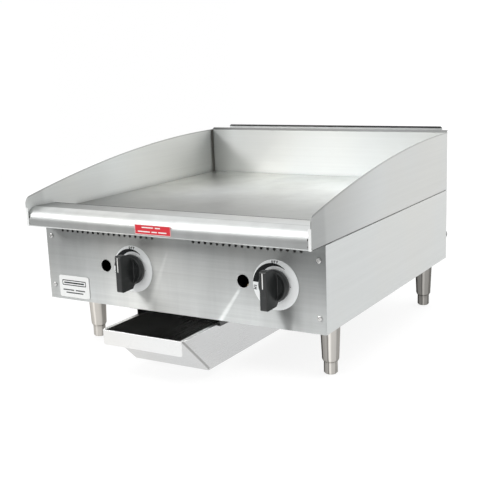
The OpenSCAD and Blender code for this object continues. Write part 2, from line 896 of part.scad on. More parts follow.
// Pan head screw with its head towards -y
module screw() {
    bevel = 0.8;
    slot_l = 5;
    rotate([90, 0, 0]) difference() {
        union() {
            cylinder(r = screw_head_r, h = screw_head_h - bevel);
            translate([0, 0, screw_head_h - bevel])
                cylinder(r1 = screw_head_r, r2 = screw_head_r - 1.4, h = bevel);
            translate([0, 0, -screw_l]) cylinder(r = screw_r, h = screw_l + 0.1);
        }
        for (a = [0, 90]) rotate([0, 0, a])
            translate([0, 0, screw_head_h]) cube([slot_l, 1, 2], center = true);
    }
}

module pan_head_screws() {
    color("silver") from_front() {
        for (sx = [-1, 1], z = screw_z) {
            translate([sx * screw_x, 0, z]) screw();
            translate([sx * screw_x, body_d, z]) rotate([0, 0, 180]) screw();
        }
        for (sx = [-1, 1], z = riser_screw_z)
            translate([sx * riser_screw_x, body_d + riser_t, z]) rotate([0, 0, 180]) screw();
        for (sx = [-1, 1], y = rail_screw_y)
            translate([sx * rail_screw_x, y, base_z - rail_t]) rotate([90, 0, 0]) screw();
    }
}

side_panel(-1);  // left_side_panel
side_panel(1);  // right_side_panel
control_panel();
rear_panel();
base_pan();
bullnose();
side_splash(-1);  // left_splash
side_splash(1);  // right_splash
rear_splash();
griddle_plate();
grease_trough();
grease_chute();
front_heat_shield();
liner(-1);  // left_liner
liner(1);  // right_liner
plate_rail(rail_y[0]);  // front_plate_rail
plate_rail(rail_y[1]);  // rear_plate_rail
levelling_bolts();
zone_baffle();
burner_bracket(bracket_y[0]);  // front_burner_bracket
burner_bracket(bracket_y[1]);  // rear_burner_bracket
burner(0);  // left_burner
burner(1);  // right_burner
orifice_hoods();
air_shutter(0);  // left_air_shutter
air_shutter(1);  // right_air_shutter
gas_manifold();
inlet_elbow();
inlet_pipe();
valve_body(0);  // left_valve_body
valve_body(1);  // right_valve_body
valve_stem(0);  // left_valve_stem
valve_stem(1);  // right_valve_stem
knob(0);  // left_knob
knob(1);  // right_knob
pointer(0);  // left_pointer
pointer(1);  // right_pointer
dial(0);  // left_dial
dial(1);  // right_dial
pilot(0);  // left_pilot
pilot(1);  // right_pilot
pilot_valves();
manifold_brackets();
grease_drawer();
drawer_rail(-1);  // left_drawer_rail
drawer_rail(1);  // right_drawer_rail
leg(-1, leg_y0);  // front_left_leg
leg(1, leg_y0);  // front_right_leg
leg(-1, leg_y1);  // rear_left_leg
leg(1, leg_y1);  // rear_right_leg
foot(-1, leg_y0);  // front_left_foot
foot(1, leg_y0);  // front_right_foot
foot(-1, leg_y1);  // rear_left_foot
foot(1, leg_y1);  // rear_right_foot
leg_plates();
leg_nuts();
flue_riser();
pan_head_screws();
badge();
front_label();
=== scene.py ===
"""Looks of the countertop gas griddle: camera, studio, materials and fine detail.

Lengths are in metres, in the frame's axes. The control panel faces -y."""

import json
import math

import bmesh
import bpy
from mathutils import Matrix, Vector


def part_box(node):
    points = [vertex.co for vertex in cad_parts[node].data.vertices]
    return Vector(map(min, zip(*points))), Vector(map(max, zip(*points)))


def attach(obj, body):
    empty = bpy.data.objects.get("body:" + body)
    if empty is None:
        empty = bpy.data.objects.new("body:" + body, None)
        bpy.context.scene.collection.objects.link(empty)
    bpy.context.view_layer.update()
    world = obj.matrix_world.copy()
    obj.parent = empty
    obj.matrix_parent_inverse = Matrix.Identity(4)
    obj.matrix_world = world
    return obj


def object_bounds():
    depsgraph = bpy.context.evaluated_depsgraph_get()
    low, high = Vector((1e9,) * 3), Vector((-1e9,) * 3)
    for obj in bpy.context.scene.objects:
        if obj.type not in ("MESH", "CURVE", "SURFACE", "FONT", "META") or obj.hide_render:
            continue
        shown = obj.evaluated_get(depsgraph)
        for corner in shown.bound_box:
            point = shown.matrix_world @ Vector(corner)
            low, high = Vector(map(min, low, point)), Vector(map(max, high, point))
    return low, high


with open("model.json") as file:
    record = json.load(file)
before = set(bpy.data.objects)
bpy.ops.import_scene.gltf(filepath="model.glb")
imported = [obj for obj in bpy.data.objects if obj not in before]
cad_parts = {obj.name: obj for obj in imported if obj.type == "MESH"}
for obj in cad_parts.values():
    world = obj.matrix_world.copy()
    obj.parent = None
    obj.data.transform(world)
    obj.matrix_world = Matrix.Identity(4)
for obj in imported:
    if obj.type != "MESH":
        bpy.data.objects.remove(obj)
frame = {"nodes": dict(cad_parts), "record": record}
cad_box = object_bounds()
NODES = frame["nodes"]
MM = 0.001
SIDES = ((-1, "left"), (1, "right"))


# ---- camera ----

# Angles in radians
AZIMUTH = 0.539239
ELEVATION = 0.217653
ROLL = -0.0362601
# Distance from the aim in metres, focal length and sensor width in millimetres
DISTANCE = 1.83505
LENS = 63.676
SENSOR = 36
# From the middle of the object's box to the aim
AIM_OFFSET = Vector((0.00088, -0.00683, -0.02854))


def make_camera():
    """Looks at a point close to the middle of the object's box, rolled a little."""
    forward = Vector((-math.sin(AZIMUTH) * math.cos(ELEVATION),
                      math.cos(AZIMUTH) * math.cos(ELEVATION), -math.sin(ELEVATION)))
    level = Vector((math.cos(AZIMUTH), math.sin(AZIMUTH), 0))
    up = level.cross(forward)
    right = math.cos(ROLL) * level + math.sin(ROLL) * up
    top = -math.sin(ROLL) * level + math.cos(ROLL) * up
    low, high = Vector(cad_box[0]), Vector(cad_box[1])
    aim = (low + high) / 2 + AIM_OFFSET
    data = bpy.data.cameras.new("camera")
    data.lens = LENS
    data.sensor_width = SENSOR
    data.clip_start = 10 * MM
    camera = bpy.data.objects.new("camera", data)
    camera.rotation_mode = "QUATERNION"
    turn = Matrix((right, top, -forward)).transposed()
    camera.matrix_world = Matrix.Translation(aim - DISTANCE * forward) @ turn.to_4x4()
    bpy.context.scene.collection.objects.link(camera)
    bpy.context.scene.camera = camera


# ---- node trees ----

class Tree:
    """Short names for building a node tree."""

    def __init__(self, tree):
        self.tree = tree
        self.tree.nodes.clear()

    def add(self, kind, inputs=None, **settings):
        node = self.tree.nodes.new(kind)
        for name, value in settings.items():
            setattr(node, name, value)
        for name, value in (inputs or {}).items():
            self.put(node.inputs[name], value)
        return node

    def put(self, socket, value):
        if isinstance(value, bpy.types.NodeSocket):
            self.tree.links.new(value, socket)
        else:
            socket.default_value = value

    def math(self, operation, a, b=0.0, c=0.0):
        return self.add("ShaderNodeMath", {0: a, 1: b, 2: c}, operation=operation).outputs[0]

    def product(self, value, *factors):
        for factor in factors:
            value = self.math("MULTIPLY", value, factor)
        return value

    def blend(self, factor, a, b):
        """A number that is a where the factor is 0 and b where it is 1."""
        return self.math("MULTIPLY_ADD", self.math("SUBTRACT", b, a), factor, a)

    def ramp(self, value, low, high, to_low=0.0, to_high=1.0, smooth=True):
        """Runs from to_low to to_high while the value runs from low to high."""
        kind = "SMOOTHSTEP" if smooth else "LINEAR"
        node = self.add("ShaderNodeMapRange", {"Value": value, "From Min": low, "From Max": high,
                                               "To Min": to_low, "To Max": to_high},
                        interpolation_type=kind)
        return node.outputs["Result"]

    def mix(self, factor, a, b):
        """A colour that is a where the factor is 0 and b where it is 1."""
        node = self.add("ShaderNodeMix", data_type="RGBA")
        self.put(node.inputs["Factor"], factor)
        self.put(node.inputs[6], a)
        self.put(node.inputs[7], b)
        return node.outputs[2]

    def place(self):
        return self.add("ShaderNodeTexCoord").outputs["Object"]

    def normal(self):
        return self.add("ShaderNodeNewGeometry").outputs["Normal"]

    def split(self, vector):
        return self.add("ShaderNodeSeparateXYZ", {0: vector}).outputs

    def scaled(self, vector, scale):
        return self.add("ShaderNodeMapping", {"Vector": vector, "Scale": scale}).outputs["Vector"]

    def noise(self, vector, scale=1.0, detail=3.0, roughness=0.55):
        node = self.add("ShaderNodeTexNoise", {"Vector": vector, "Scale": scale, "Detail": detail,
                                               "Roughness": roughness})
        return node.outputs["Fac"]


def rgba(colour, factor=1.0):
    return (colour[0] * factor, colour[1] * factor, colour[2] * factor, 1.0)


def new_material(name):
    material = bpy.data.materials.new(name)
    material.use_nodes = True
    return material, Tree(material.node_tree)


def finish_material(tree, shader):
    tree.add("ShaderNodeOutputMaterial", {"Surface": shader.outputs[0]})


# ---- materials ----

AXES = "xyz"
WHITE = (1.0, 1.0, 1.0)
STEEL = (0.62, 0.63, 0.62)
WARM_NICKEL = (0.60, 0.575, 0.54)
# Faint casts of colour that wander over the steel
WARM_CAST = (1.005, 0.998, 0.985)
COOL_CAST = (0.99, 1.0, 1.01)
# Edge tint of the plated legs and feet, darker than their faces
LEG_RIM = (0.35, 0.34, 0.32)
# Noise cells per metre across and along the grain
FINE_GRAIN = (1400.0, 9.0)
LONG_STREAKS = (160.0, 2.2)
# The grain's small parts along the other axes, so that no face lies square to it
OFF_GRAIN = (0.021, 0.013, 0.017)
# Height of the bump textures
RELIEF = 0.2 * MM


def centred(tree, value, amount, base):
    """base + amount * (value - 0.5)"""
    return tree.math("MULTIPLY_ADD", tree.math("SUBTRACT", value, 0.5), amount, base)


def grain(tree, place, axis):
    """Two noises drawn out along an axis: hair-fine lines and broader streaks."""
    def drawn_out(cells, detail, roughness):
        across, along = cells
        scale = [across] * 3
        scale[AXES.index(axis)] = along
        return tree.noise(tree.scaled(place, scale), detail=detail, roughness=roughness)
    return drawn_out(FINE_GRAIN, 2.0, 0.55), drawn_out(LONG_STREAKS, 4.0, 0.65)


def upright_mottle(tree, place, width, amount):
    """Soft random tone drawn out upright, about as wide as given, around a factor of one."""
    noise = tree.noise(tree.scaled(place, (1 / width, 1 / width, 0.12 / width)), detail=3.0)
    return centred(tree, noise, amount, 1.0)


def corner_shade(tree, level, amount, reach):
    """Darkens the level where other surfaces are near."""
    near = tree.add("ShaderNodeAmbientOcclusion", {"Distance": reach}, samples=8)
    return tree.product(level, tree.ramp(near.outputs["AO"], 0.2, 0.9, 1 - amount, 1.0))


def shaded(tree, colour, level):
    """A colour times a brightness level."""
    return tree.add("ShaderNodeVectorMath", {0: colour, "Scale": level}, operation="SCALE").outputs[0]


def bumped(tree, height, strength):
    """The surface's normal, tilted by a height texture."""
    relief = tree.add("ShaderNodeBump", {"Height": height, "Strength": strength, "Distance": RELIEF})
    return relief.outputs[0]


def steel_shader(tree, tint, level, roughness, anisotropy, spread, height, bump,
                 rim=WHITE):
    """Metal whose highlights are drawn out along the spread direction."""
    warm, cool = (rgba([t * c for t, c in zip(tint, cast)]) for cast in (WARM_CAST, COOL_CAST))
    patch = tree.noise(tree.place(), scale=3.0, detail=2.0)
    hue = tree.mix(tree.ramp(patch, 0.35, 0.65), warm, cool)
    return tree.add("ShaderNodeBsdfPrincipled", {
        "Base Color": shaded(tree, hue, level), "Metallic": 1.0, "Roughness": roughness,
        "Anisotropic": anisotropy, "Tangent": spread, "Specular Tint": rgba(rim),
        "Normal": bumped(tree, height, bump)})


def brushed_steel(name, tint, rough, axis, anisotropy=0.8, streaks=0.05, blotches=0.05,
                  corner=None, bump=0.12, satin=0.16, bands=None):
    """Sheet steel with fine lines along one axis, longer streaks and soft blotches. corner is how
    much painted shade darkens it near other surfaces and from how near, satin is how far the fine
    lines change the roughness, and bands(tree, place) gives a further brightness factor of painted
    light and shade."""
    material, tree = new_material(name)
    place = tree.place()
    fine, streak = grain(tree, place, axis)
    blotch = tree.noise(place, scale=4.5, detail=3.0)
    level = centred(tree, streak, 2 * streaks, 1.0)
    level = centred(tree, blotch, 2 * blotches, level)
    level = centred(tree, fine, streaks, level)
    if corner:
        level = corner_shade(tree, level, *corner)
    if bands:
        level = tree.product(level, bands(tree, place))
    roughness = centred(tree, fine, satin, rough)
    roughness = centred(tree, blotch, 0.10, roughness)
    along = list(OFF_GRAIN)
    along[AXES.index(axis)] = 1.0
    across = tree.add("ShaderNodeVectorMath", {0: tree.normal(), 1: along}, operation="CROSS_PRODUCT")
    shader = steel_shader(tree, tint, level, roughness, anisotropy, across.outputs[0], fine, bump)
    finish_material(tree, shader)
    return material


def turned_nickel(name, tint, rough):
    """Satin plating on a turned leg or foot: fine rings, streaks that run down it, and painted
    reflections and painted shade as upright bands.
    """
    material, tree = new_material(name)
    place = tree.place()
    rings = tree.noise(tree.scaled(place, (40.0, 40.0, 1800.0)), detail=2.0)
    streak = tree.noise(tree.scaled(place, (170.0, 170.0, 6.0)), detail=3.0, roughness=0.6)
    level = centred(tree, streak, 0.24, 1.0)
    level = centred(tree, rings, 0.06, level)
    level = tree.product(level, painted_leg_light(tree, place))
    roughness = centred(tree, rings, 0.12, rough)
    shader = steel_shader(tree, tint, level, roughness, anisotropy=0.85, spread=(0.02, 0.01, 1.0),
                          height=rings, bump=0.1, rim=LEG_RIM)
    finish_material(tree, shader)
    return material


def ground_plate(name, tint, rough):
    """Surface-ground plate: long faint arcs of grinding marks, soft stains and fine scratches.
    Painted shade in front and painted light at the back right make it darkest in front and brightest
    at the back right."""
    material, tree = new_material(name)
    place = tree.place()
    low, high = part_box("griddle_plate")
    arc_centre = (high.x + 0.25, low.y - 0.55, 0.0)
    offset = tree.add("ShaderNodeVectorMath", {0: place, 1: arc_centre}, operation="SUBTRACT")
    x, y, z = tree.split(offset.outputs[0])
    radius = tree.math("SQRT", tree.math("MULTIPLY_ADD", x, x, tree.product(y, y)))
    swept = tree.add("ShaderNodeCombineXYZ", {
        "X": radius, "Y": tree.product(tree.math("ARCTAN2", y, x), 0.5),
        "Z": tree.product(z, 0.2)}).outputs[0]
    arcs = tree.noise(tree.scaled(swept, (150.0, 3.0, 3.0)), detail=4.0, roughness=0.7)
    fine = tree.noise(tree.scaled(swept, (1300.0, 12.0, 12.0)), detail=2.0)
    stain = tree.noise(place, scale=6.0, detail=4.0, roughness=0.6)
    level = centred(tree, arcs, 0.12, 1.0)
    level = centred(tree, fine, 0.06, level)
    level = centred(tree, stain, 0.18, level)
    level = corner_shade(tree, level, 0.15, 8 * MM)
    place_x, place_y, _ = tree.split(place)
    # Painted shade towards the front, painted light towards the back and the right
    lit_towards_back = tree.ramp(place_y, low.y - 0.02, high.y - 0.08, 0.44, 1.46)
    lit_towards_right = tree.ramp(place_x, 0.0, high.x - 0.05, 0.98, 1.22)
    level = tree.product(level, lit_towards_back, lit_towards_right, upright_mottle(tree, place, 0.05, 0.36))
    # Keeps the base colour under one
    level = tree.math("MINIMUM", level, 1.5)
    roughness = centred(tree, stain, 0.12, centred(tree, fine, 0.14, rough))
    shader = steel_shader(tree, tint, level, roughness, anisotropy=0.5, spread=(0.01, 1.0, 0.02),
                          height=arcs, bump=0.15)
    finish_material(tree, shader)
    return material


def plain_metal(name, tint, rough, metallic=1.0, spots=0.1, grain_scale=300.0, bump=0.15, rings=None):
    """Cast, plated or painted metal with fine mottling. rings=(axis, length) turns rings into it that
    are 2 pi lengths apart."""
    material, tree = new_material(name)
    place = tree.place()
    fine = tree.noise(place, scale=grain_scale, detail=4.0)
    broad = tree.noise(place, scale=18.0, detail=3.0)
    level = centred(tree, fine, 2 * spots, 1.0)
    level = centred(tree, broad, spots, level)
    height = fine
    if rings:
        axis, length = rings
        wave = tree.add("ShaderNodeTexWave", {"Vector": place, "Scale": 1 / (20 * length),
                                              "Distortion": 0.4, "Detail": 1.0},
                        wave_type="BANDS", bands_direction=axis)
        height = wave.outputs["Fac"]
    shader = tree.add("ShaderNodeBsdfPrincipled", {
        "Base Color": shaded(tree, tint, level), "Metallic": metallic,
        "Roughness": centred(tree, broad, 0.2, rough), "Normal": bumped(tree, height, bump)})
    finish_material(tree, shader)
    return material


def moulded(name, tint, rough, texture=700.0, bump=0.08, wear=0.04, coat=0.0, worn_tint=0.55,
            gloss=0.5):
    """Plastic, ink or enamel: fine texture, faint scuffs and uneven gloss."""
    material, tree = new_material(name)
    place = tree.place()
    fine = tree.noise(place, scale=texture, detail=3.0)
    scuff = tree.noise(tree.scaled(place, (30.0, 30.0, 140.0)), detail=5.0, roughness=0.7)
    worn = tree.ramp(scuff, 0.55, 0.8, 0.0, wear)
    mottle = tree.ramp(fine, 0.3, 0.7, 0.0, 0.06)
    colour = tree.mix(worn, rgba(tint), rgba((worn_tint,) * 3))
    colour = tree.mix(mottle, colour, rgba(tint, 0.5))
    shader = tree.add("ShaderNodeBsdfPrincipled", {
        "Base Color": colour, "Metallic": 0.0, "Roughness": centred(tree, scuff, 0.18, rough),
        "Coat Weight": coat, "Specular IOR Level": gloss, "Normal": bumped(tree, fine, bump)})
    finish_material(tree, shader)
    return material


# ---- tone by place: painted light and shade ----

# Radius of the side splashes' curved top edge, and the level stretch behind it
SPLASH_RADIUS = 2.950
SPLASH_FLAT = 17 * MM
# Depth of the bullnose's roll, in front of its shelf
NOSE_ROUND = 25 * MM
# Two painted reflections and a painted shadow on the control panel: start and end as (x, z), half
# width at each, change of brightness
PANEL_PAINTED_STREAKS = (
    ((0.137, 0.163), (0.0975, 0.105), (0.0045, 0.0065), 0.38),
    ((-0.015, 0.215), (-0.062, 0.105), (0.0045, 0.0110), 0.10),
    ((0.2345, 0.093), (0.2274, 0.140), (0.0090, 0.0230), -0.44))


def splash_bands(tree, place):
    """Side splashes: a darker border along the curved top edge, painted shade over the front end and
    in a slanted step near it, painted shade in the seam along the foot, darkest in front, and
    painted light on the left one's inner face."""
    low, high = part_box("right_splash")
    x, y, z = tree.split(place)
    run = tree.math("SUBTRACT", high.y - SPLASH_FLAT, y)
    drop = tree.product(run, run, 1 / (2 * SPLASH_RADIUS))
    depth = tree.math("SUBTRACT", high.z - 0.1 * MM, tree.math("ADD", drop, z))
    border = tree.ramp(depth, 1.0 * MM, 3.5 * MM, 0.72, 1.0)
    # Painted shade over a slanted step at the front end
    slanted = tree.math("MULTIPLY_ADD", z, 0.1, y)
    step = tree.ramp(slanted, low.y + 72 * MM, low.y + 86 * MM, 0.88, 1.0)
    # Painted light on the left splash's inner face, a little painted shade on all other faces
    facing_right = tree.ramp(tree.split(tree.normal())[0], 0.2, 0.7)
    lit_left_inner = tree.product(tree.math("LESS_THAN", x, 0.0), facing_right)
    # Painted shade over the front end, kept off the lit left inner face
    front = tree.ramp(y, low.y, low.y + 0.30, 0.74, 1.02)
    front = tree.math("MAXIMUM", front, tree.product(lit_left_inner, 0.97))
    side = tree.math("MULTIPLY_ADD", lit_left_inner, 0.33, 0.93)
    # Painted shade in the seam along the foot, darkest in front
    above_seam = tree.ramp(z, low.z + 0.8 * MM, low.z + 1.8 * MM)
    seam = tree.blend(above_seam, tree.ramp(y, low.y, high.y, 0.15, 0.5), 1.0)
    return tree.product(border, front, side, step, seam)


def rear_splash_painted_light(tree, place):
    """Rear splash: painted shade on the folded top edge, darkest at the left, painted shade in the
    left corner, and a painted highlight in the middle.
    """
    low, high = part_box("rear_splash")
    x, _, z = tree.split(place)
    # Painted shade on the folded top edge, darkest at the left
    on_fold = tree.ramp(z, high.z - 5.3 * MM, high.z - 4.8 * MM, smooth=False)
    fold = tree.blend(on_fold, 1.0, tree.ramp(x, low.x, low.x + 0.12, 0.30, 0.48))
    # Painted shade in the left corner
    corner = tree.ramp(x, low.x, low.x + 0.07, 0.62, 1.0)
    # Painted highlight in the middle
    from_middle = tree.math("ABSOLUTE", tree.math("SUBTRACT", x, 0.08))
    return tree.product(fold, corner, tree.ramp(from_middle, 0.20, 0.02, 1.0, 1.08))


def flue_painted_shade(tree, place):
    """Painted shade darkens a band along the riser's top edge."""
    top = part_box("flue_riser")[1].z
    return tree.ramp(tree.split(place)[2], top - 4.6 * MM, top - 3.6 * MM, 1.0, 0.10)


def drawer_painted_light(tree, place):
    """Drawer: painted highlights on the lips and the handle flange, a little painted shade on the
    bent body.
    """
    low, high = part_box("grease_drawer")
    _, y, z = tree.split(place)
    # Painted highlight along the lips' top
    lip = tree.ramp(z, high.z - 1.6 * MM, high.z - 1.2 * MM, 1.0, 1.40)
    # Painted light on the handle flange in front, painted shade on the body behind it
    return tree.product(lip, tree.ramp(y, low.y + 3 * MM, low.y + 5 * MM, 1.14, 0.90))


def painted_panel_streak(tree, x, z, start, end, half_widths, gain):
    """Painted light, or painted shade where the gain is below zero: a change of brightness along a
    straight line on the panel, soft at its sides and ends.
    """
    run = Vector(end) - Vector(start)
    length = run.length
    run.normalize()
    dx, dz = tree.math("SUBTRACT", x, start[0]), tree.math("SUBTRACT", z, start[1])
    across = tree.math("MULTIPLY_ADD", dx, run.y, tree.product(dz, -run.x))
    along = tree.math("MULTIPLY_ADD", dx, run.x, tree.product(dz, run.y))
    width = tree.ramp(along, 0.0, length, *half_widths)
    side = tree.math("DIVIDE", tree.math("ABSOLUTE", across), width)
    core = tree.ramp(side, 1.0, 0.1, 0.0, gain)
    begin = tree.ramp(along, -0.1 * length, 0.1 * length)
    stop = tree.ramp(along, length, 1.4 * length, 1.0, 0.0)
    return tree.product(core, begin, stop)


def panel_painted_light(tree, place):
    """Control panel: painted light at its foot and middle and painted shade towards its top and ends,
    upright mottling, two painted reflections as streaks of light, and a painted shadow as a dark
    wedge under the right knob."""
    low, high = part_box("control_panel")
    x, _, z = tree.split(place)
    # Painted light at the foot, painted shade towards the top
    foot = tree.ramp(z, low.z, low.z + 0.11, 1.22, 0.83)
    # Painted shade towards the two ends
    left = tree.ramp(x, low.x, low.x + 0.24, 0.74, 1.0)
    right = tree.ramp(x, high.x - 0.22, high.x, 1.0, 0.80)
    factor = tree.product(foot, left, right, upright_mottle(tree, place, 0.03, 0.30))
    # Painted reflections and a painted shadow, streak by streak
    for mark in PANEL_PAINTED_STREAKS:
        factor = tree.math("ADD", factor, painted_panel_streak(tree, x, z, *mark))
    return factor


def nose_painted_light(tree, place):
    """Bullnose: painted shade on the mottled face under the roll, a painted dark line of shade where
    roll and shelf meet, painted shade on the shelf, darkest at the left, and a painted highlight
    along the foot."""
    low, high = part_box("bullnose")
    x, y, z = tree.split(place)
    shelf_y = low.y + NOSE_ROUND
    # Painted shade on the face, deepest low down
    face = tree.ramp(z, high.z - 30 * MM, high.z - 8 * MM, 0.76, 0.94)
    # Painted shade on the shelf, darkest at the left
    on_shelf = tree.ramp(y, shelf_y - 4 * MM, shelf_y + 1 * MM)
    shelf = tree.ramp(x, low.x, high.x - 0.05, -0.50, -0.06)
    factor = tree.math("MULTIPLY_ADD", on_shelf, shelf, face)
    # Painted shade along the crease where roll and shelf meet
    crease = tree.math("ABSOLUTE", tree.math("SUBTRACT", y, shelf_y))
    line = tree.ramp(crease, 0.4 * MM, 1.6 * MM, 0.60, 1.0)
    factor = tree.product(factor, upright_mottle(tree, place, 0.03, 0.26), line)
    # Painted highlight along the foot
    return tree.math("ADD", factor, tree.ramp(z, low.z + 1.8 * MM, low.z + 3 * MM, 0.35, 0.0))


# Brightness of the painted reflections around a leg as (degrees, factor), counted from +x towards +y
RIGHT_LEG = (
    (-180, 0.15), (-126, 0.15), (-119, 0.60), (-91, 0.66), (-84, 0.40), (-80, 0.42), (-74, 1.48),
    (-65, 1.36), (-58, 0.92), (-31, 0.88), (-22, 0.54), (-13, 0.60), (10, 0.76), (60, 0.7),
    (150, 0.3), (180, 0.15))
LEFT_LEG = (
    (-180, 0.9), (-140, 0.95), (-89, 0.98), (-84, 1.34), (-76, 1.32), (-70, 1.02), (-44, 1.0),
    (-30, 0.9), (-21, 0.46), (4, 0.46), (14, 0.66), (41, 0.66), (120, 0.7), (180, 0.9))


def tone_ramp(tree, angle, stops, peak=1.5):
    """Looks a factor up from an angle in radians. The peak keeps the ramp's own values under one."""
    turn = tree.math("MULTIPLY_ADD", angle, 0.5 / math.pi, 0.5)
    node = tree.add("ShaderNodeValToRGB", {"Fac": turn})
    elements = node.color_ramp.elements
    elements[0].position, elements[1].position = 0.0, 1.0
    for degrees, _ in stops[1:-1]:
        elements.new((degrees + 180) / 360)
    for element, (_, tone) in zip(elements, stops):
        element.color = rgba((tone / peak,) * 3)
    return tree.product(node.outputs["Color"], peak)


def painted_leg_light(tree, place):
    """Painted reflections as upright bands of tone around each leg's axis, and painted shade on the
    rear legs.
    """
    x, y, _ = tree.split(place)
    front, rear = ([sum(pair) / 2 for pair in zip(*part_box(leg))]
                   for leg in ("front_right_leg", "rear_right_leg"))
    is_right = tree.math("GREATER_THAN", x, 0.0)
    axis_x = tree.math("MULTIPLY_ADD", is_right, 2 * front[0], -front[0])
    is_rear = tree.math("GREATER_THAN", y, (front[1] + rear[1]) / 2)
    axis_y = tree.math("MULTIPLY_ADD", is_rear, rear[1] - front[1], front[1])
    angle = tree.math("ARCTAN2", tree.math("SUBTRACT", y, axis_y), tree.math("SUBTRACT", x, axis_x))
    wander = tree.noise(tree.scaled(place, (9.0, 9.0, 26.0)), detail=2.0)
    angle = centred(tree, wander, 0.18, angle)
    # Painted reflections around each leg
    left, right = tone_ramp(tree, angle, LEFT_LEG), tone_ramp(tree, angle, RIGHT_LEG)
    # Painted shade on the rear legs
    return tree.product(tree.blend(is_right, left, right), tree.blend(is_rear, 1.0, 0.55))


def make_materials():
    """The materials of the record's slots, and those of the inks, welds, strips and seams."""
    return {
        "shell_steel": brushed_steel("shell_steel", STEEL, 0.50, "y", anisotropy=0.88),
        "panel_steel": brushed_steel("panel_steel", STEEL, 0.56, "x", anisotropy=0.90, streaks=0.12,
                                     bands=panel_painted_light),
        "nose_steel": brushed_steel("nose_steel", STEEL, 0.37, "x", anisotropy=0.5, blotches=0.08,
                                    bands=nose_painted_light),
        "splash_steel": brushed_steel("splash_steel", STEEL, 0.50, "y", anisotropy=0.88,
                                      corner=(0.5, 20 * MM), bands=splash_bands),
        "rear_splash_steel": brushed_steel("rear_splash_steel", (0.66, 0.67, 0.66), 0.50, "x",
                                           anisotropy=0.88, corner=(0.25, 15 * MM),
                                           bands=rear_splash_painted_light),
        "plate_steel": ground_plate("plate_steel", (0.62, 0.63, 0.615), 0.34),
        "trough_steel": brushed_steel("trough_steel", (0.55, 0.55, 0.54), 0.4, "x"),
        "inner_steel": plain_metal("inner_steel", (0.45, 0.45, 0.44), 0.5, spots=0.15),
        "frame_steel": plain_metal("frame_steel", (0.34, 0.35, 0.36), 0.5, spots=0.25,
                                   grain_scale=90.0),
        "flue_steel": brushed_steel("flue_steel", (0.70, 0.71, 0.70), 0.45, "x", bands=flue_painted_shade),
        "burner_steel": plain_metal("burner_steel", (0.40, 0.40, 0.39), 0.45, spots=0.2),
        "brass": plain_metal("brass", (0.72, 0.53, 0.25), 0.32, rings=("Y", 0.6 * MM)),
        "black_pipe": plain_metal("black_pipe", (0.05, 0.05, 0.052), 0.5, metallic=0.6, spots=0.3,
                                  rings=("Y", 1.8 * MM)),
        "stem_steel": plain_metal("stem_steel", (0.55, 0.55, 0.54), 0.3, rings=("Y", 0.5 * MM)),
        "pilot_steel": plain_metal("pilot_steel", (0.68, 0.68, 0.68), 0.3),
        "knob_black": moulded("knob_black", (0.020, 0.022, 0.022), 0.34),
        "pointer_white": moulded("pointer_white", (0.85, 0.85, 0.83), 0.5),
        "dial_face": plain_metal("dial_face", (0.94, 0.96, 0.96), 0.42, metallic=0.10, spots=0.03,
                                 bump=0.05),
        "drawer_steel": brushed_steel("drawer_steel", (0.70, 0.70, 0.695), 0.27, "y",
                                      anisotropy=0.4, streaks=0.012, blotches=0.08, bump=0.02,
                                      satin=0.05, bands=drawer_painted_light),
        "rail_steel": plain_metal("rail_steel", (0.10, 0.10, 0.10), 0.4, spots=0.25,
                                  grain_scale=120.0),
        "leg_nickel": turned_nickel("leg_nickel", WARM_NICKEL, 0.36),
        "foot_steel": turned_nickel("foot_steel", WARM_NICKEL, 0.40),
        "fastener_steel": plain_metal("fastener_steel", (0.66, 0.66, 0.65), 0.25),
        "badge_white": moulded("badge_white", (0.84, 0.85, 0.84), 0.35, coat=0.3),
        "label_red": moulded("label_red", (0.66, 0.02, 0.035), 0.35, coat=0.3),
        "ink_and_shade_black": moulded("ink_and_shade_black", (0.012, 0.014, 0.015), 0.6, wear=0.05, worn_tint=0.2,
                             gloss=0.15),
        "ink_grey": moulded("ink_grey", (0.09, 0.095, 0.10), 0.5, wear=0.1, gloss=0.2),
        "weld_and_shade_dark": plain_metal("weld_and_shade_dark", (0.14, 0.135, 0.125), 0.45, spots=0.4,
                                 grain_scale=900.0, bump=0.4),
        "painted_highlight_strip": plain_metal("painted_highlight_strip", (0.86, 0.87, 0.86), 0.5, metallic=0.2,
                                   spots=0.04),
        "seam_steel": plain_metal("seam_steel", (0.40, 0.40, 0.395), 0.4, spots=0.2,
                                  grain_scale=500.0, bump=0.3),
    }


# ---- CAD nodes ----

KNOBS = ("left_knob", "right_knob")
# Corners of triangles closer than this are one corner
WELD_REACH = 0.02 * MM
# Triangles that bend less than this are one flat face
FLAT_ANGLE = math.radians(0.2)
# Edges that bend more than this are rounded
SHARP_ANGLE = math.radians(28)
EDGE_ROUND = 0.3 * MM
KNOB_VOXEL = 0.6 * MM


def weld(node):
    """Joins the split corners of a CAD node's triangles."""
    node.modifiers.new("weld", "WELD").merge_threshold = WELD_REACH


def ease_edges(node):
    """Rounds a CAD node's edges without touching its mesh."""
    weld(node)
    flat = node.modifiers.new("flat", "DECIMATE")
    flat.decimate_type = "DISSOLVE"
    flat.angle_limit = FLAT_ANGLE
    bevel = node.modifiers.new("bevel", "BEVEL")
    bevel.width = EDGE_ROUND
    bevel.segments = 2
    bevel.limit_method = "ANGLE"
    bevel.angle_limit = SHARP_ANGLE
    bevel.use_clamp_overlap = True
    bevel.harden_normals = True


def mould_knob(node):
    """Blends grip and skirt into one moulding with soft edges and inner fillets."""
    weld(node)
    remesh = node.modifiers.new("remesh", "REMESH")
    remesh.mode = "VOXEL"
    remesh.voxel_size = KNOB_VOXEL
    remesh.use_smooth_shade = True
    smooth = node.modifiers.new("smooth", "SMOOTH")
    smooth.factor = 0.5
    smooth.iterations = 6


